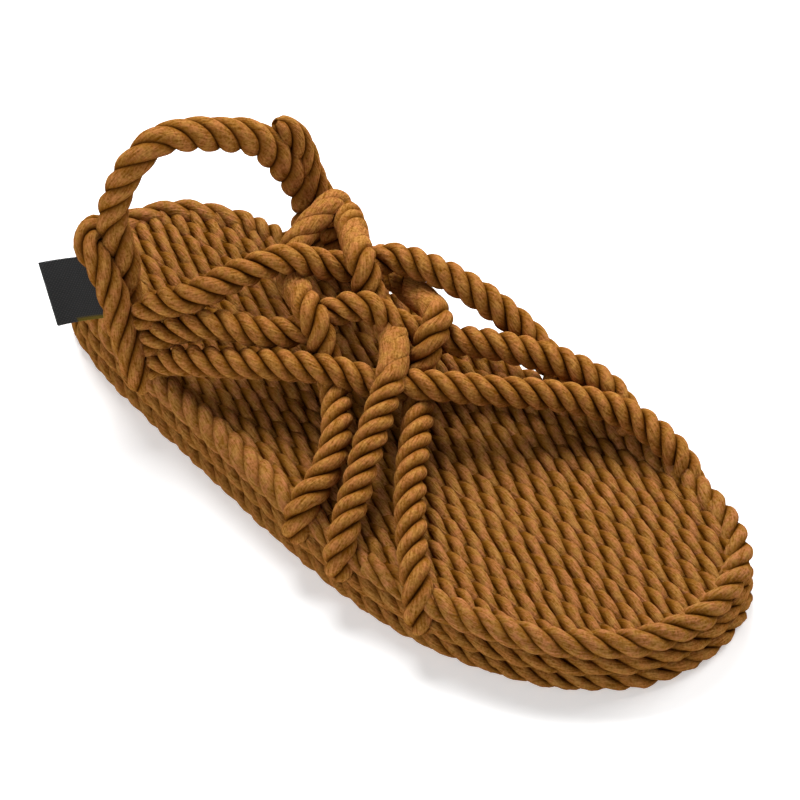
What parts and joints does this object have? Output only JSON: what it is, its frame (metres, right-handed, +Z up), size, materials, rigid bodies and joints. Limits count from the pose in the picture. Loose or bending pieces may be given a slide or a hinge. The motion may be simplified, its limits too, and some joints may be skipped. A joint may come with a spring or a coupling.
{
  "type": "rope sandal",
  "caption": "Open sandal made of twisted rope: a layered rope sole with a ribbed footbed, a woven lattice of straps over the foot, and a heel sling held by side loops.",
  "frame": {"origin": "middle of the sandal's box, on the floor under the sole", "axes": "+X to the toe, +Y to the inner side of the foot, +Z up"},
  "size_m": [0.2798, 0.1142, 0.0989],
  "materials": {
    "sole_rope": "matte laid rope",
    "footbed_rope": "matte laid rope rows",
    "strap_rope": "matte laid rope, slightly fuzzy",
    "label_cloth": "plain woven ribbon"
  },
  "bodies": {
    "root": {"outsole_mat": "sole_rope", "midsole_mat": "sole_rope", "footbed_mat": "footbed_rope", "rope_upper": "strap_rope", "label": "label_cloth"}
  },
  "joints": []
}
